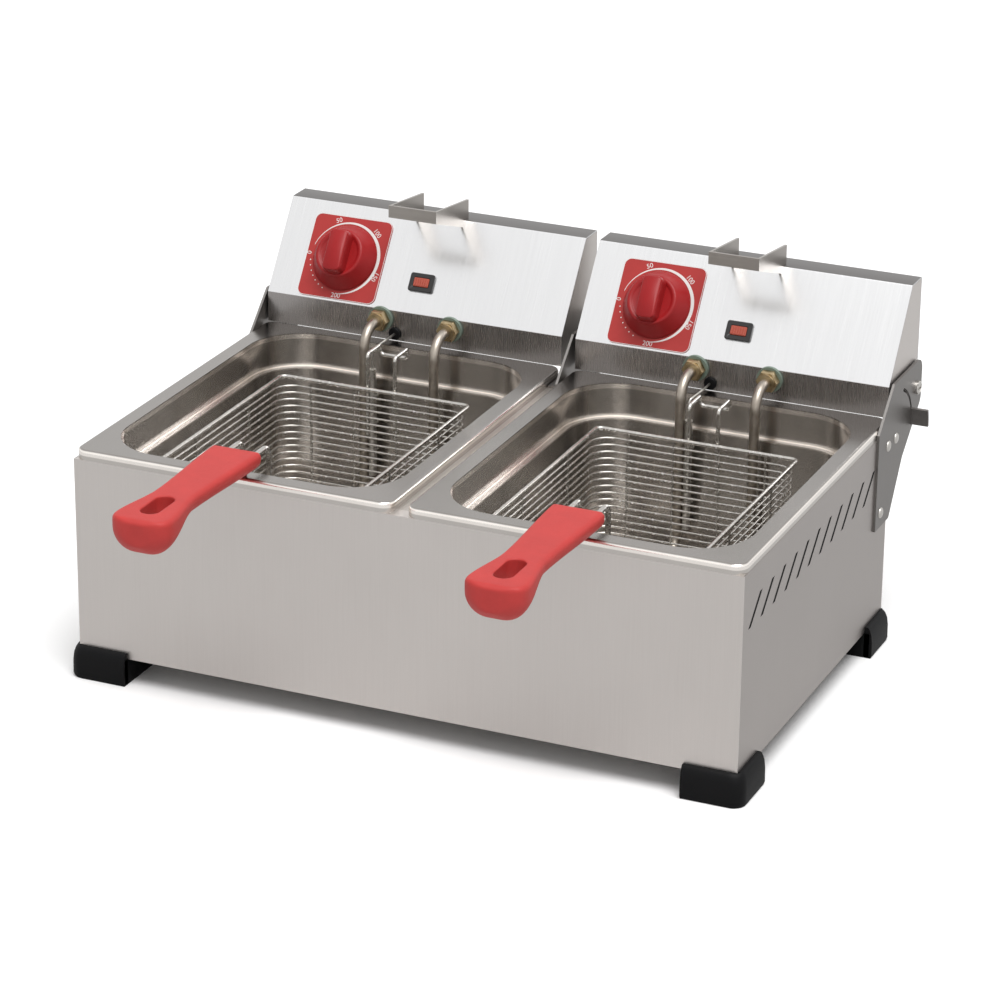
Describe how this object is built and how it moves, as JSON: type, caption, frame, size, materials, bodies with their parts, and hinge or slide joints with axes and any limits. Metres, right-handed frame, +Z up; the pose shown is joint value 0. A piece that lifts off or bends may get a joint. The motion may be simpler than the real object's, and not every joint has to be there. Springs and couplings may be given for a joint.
{
  "type": "twin-tank table-top deep fryer",
  "caption": "Table-top deep fryer with twin oil tanks side by side, a tilting control head over each, wire baskets with moulded handles and a vented steel cabinet on corner feet.",
  "frame": {"origin": "on the floor, in the middle of the whole object's footprint", "axes": "+X to the right as seen from the front, +Y to the back, +Z up"},
  "size_m": [0.572, 0.554, 0.3048],
  "materials": {
    "brushed_steel": "vertical brushed stainless sheet",
    "black_moulding": "matt black moulding",
    "plated_steel": "bright plated steel",
    "tank_steel": "satin pressed stainless",
    "bracket_steel": "satin stainless plate",
    "dial_red": "red printed plate",
    "lamp_orange": "clear orange-red lens",
    "element_steel": "bent stainless tube",
    "gasket_grey": "grey-green fibre",
    "nut_brass": "machined brass",
    "grommet_black": "black rubber",
    "knob_red": "glossy dark red moulding",
    "basket_wire": "bright plated wire",
    "handle_red": "matt red moulding"
  },
  "bodies": {
    "cabinet": {"front_panel": "brushed_steel", "rear_panel": "brushed_steel", "side_panel_left": "brushed_steel", "side_panel_right": "brushed_steel", "base_plate": "brushed_steel", "centre_rail": "brushed_steel", "foot_front_left": "black_moulding", "foot_front_right": "black_moulding", "foot_rear_left": "black_moulding", "foot_rear_right": "black_moulding", "foot_screws": "plated_steel", "tank_left": "tank_steel", "tank_right": "tank_steel", "bracket_left": "bracket_steel", "bracket_right": "bracket_steel", "centre_bracket": "bracket_steel", "centre_pivot_pin": "plated_steel", "bracket_rivets": "plated_steel"},
    "left_lock_lever": {"lock_lever_left": "bracket_steel"},
    "left_head": {"head_cover_left": "brushed_steel", "head_tray_left": "brushed_steel", "basket_hanger_left": "bracket_steel", "dial_plate_left": "dial_red", "lamp_bezel_left": "black_moulding", "lamp_lens_left": "lamp_orange", "thermostat_left": "black_moulding", "heating_element_left": "element_steel", "element_gaskets_left": "gasket_grey", "element_nuts_left": "nut_brass", "capillary_grommet_left": "grommet_black", "thermostat_bulb_left": "plated_steel", "terminal_block_left": "black_moulding", "cord_gland_left": "black_moulding", "pivot_screw_left": "plated_steel"},
    "left_knob": {"knob_left": "knob_red"},
    "left_basket": {"basket_cage_left": "basket_wire", "basket_frame_left": "basket_wire", "basket_handle_left": "handle_red"},
    "right_lock_lever": {"lock_lever_right": "bracket_steel"},
    "right_head": {"head_cover_right": "brushed_steel", "head_tray_right": "brushed_steel", "basket_hanger_right": "bracket_steel", "dial_plate_right": "dial_red", "lamp_bezel_right": "black_moulding", "lamp_lens_right": "lamp_orange", "thermostat_right": "black_moulding", "heating_element_right": "element_steel", "element_gaskets_right": "gasket_grey", "element_nuts_right": "nut_brass", "capillary_grommet_right": "grommet_black", "thermostat_bulb_right": "plated_steel", "terminal_block_right": "black_moulding", "cord_gland_right": "black_moulding", "pivot_screw_right": "plated_steel"},
    "right_knob": {"knob_right": "knob_red"},
    "right_basket": {"basket_cage_right": "basket_wire", "basket_frame_right": "basket_wire", "basket_handle_right": "handle_red"}
  },
  "joints": [
    {"name": "left_head_tilt", "type": "hinge", "parent": "cabinet", "child": "left_head", "pos_m": [-0.13725, 0.252, 0.1935], "axis": [-1, 0, 0], "range_deg": [0, 70]},
    {"name": "left_knob_turn", "type": "hinge", "parent": "left_head", "child": "left_knob", "pos_m": [-0.20775, 0.21223, 0.2436], "axis": [0, 0.8189, -0.5739], "range_deg": [-90, 180]},
    {"name": "left_basket_lift", "type": "slide", "parent": "left_head", "child": "left_basket", "axis": [0, 0, 1], "range_m": [0, 0.2]},
    {"name": "left_lock_lever_swing", "type": "hinge", "parent": "cabinet", "child": "left_lock_lever", "pos_m": [-0.26925, 0.205, 0.167], "axis": [1, 0, 0], "range_deg": [0, 49]},
    {"name": "right_head_tilt", "type": "hinge", "parent": "cabinet", "child": "right_head", "pos_m": [0.13725, 0.252, 0.1935], "axis": [-1, 0, 0], "range_deg": [0, 70]},
    {"name": "right_knob_turn", "type": "hinge", "parent": "right_head", "child": "right_knob", "pos_m": [0.06675, 0.21223, 0.2436], "axis": [0, 0.8189, -0.5739], "range_deg": [-90, 180]},
    {"name": "right_basket_lift", "type": "slide", "parent": "right_head", "child": "right_basket", "axis": [0, 0, 1], "range_m": [0, 0.2]},
    {"name": "right_lock_lever_swing", "type": "hinge", "parent": "cabinet", "child": "right_lock_lever", "pos_m": [0.26925, 0.205, 0.167], "axis": [1, 0, 0], "range_deg": [0, 49]}
  ]
}
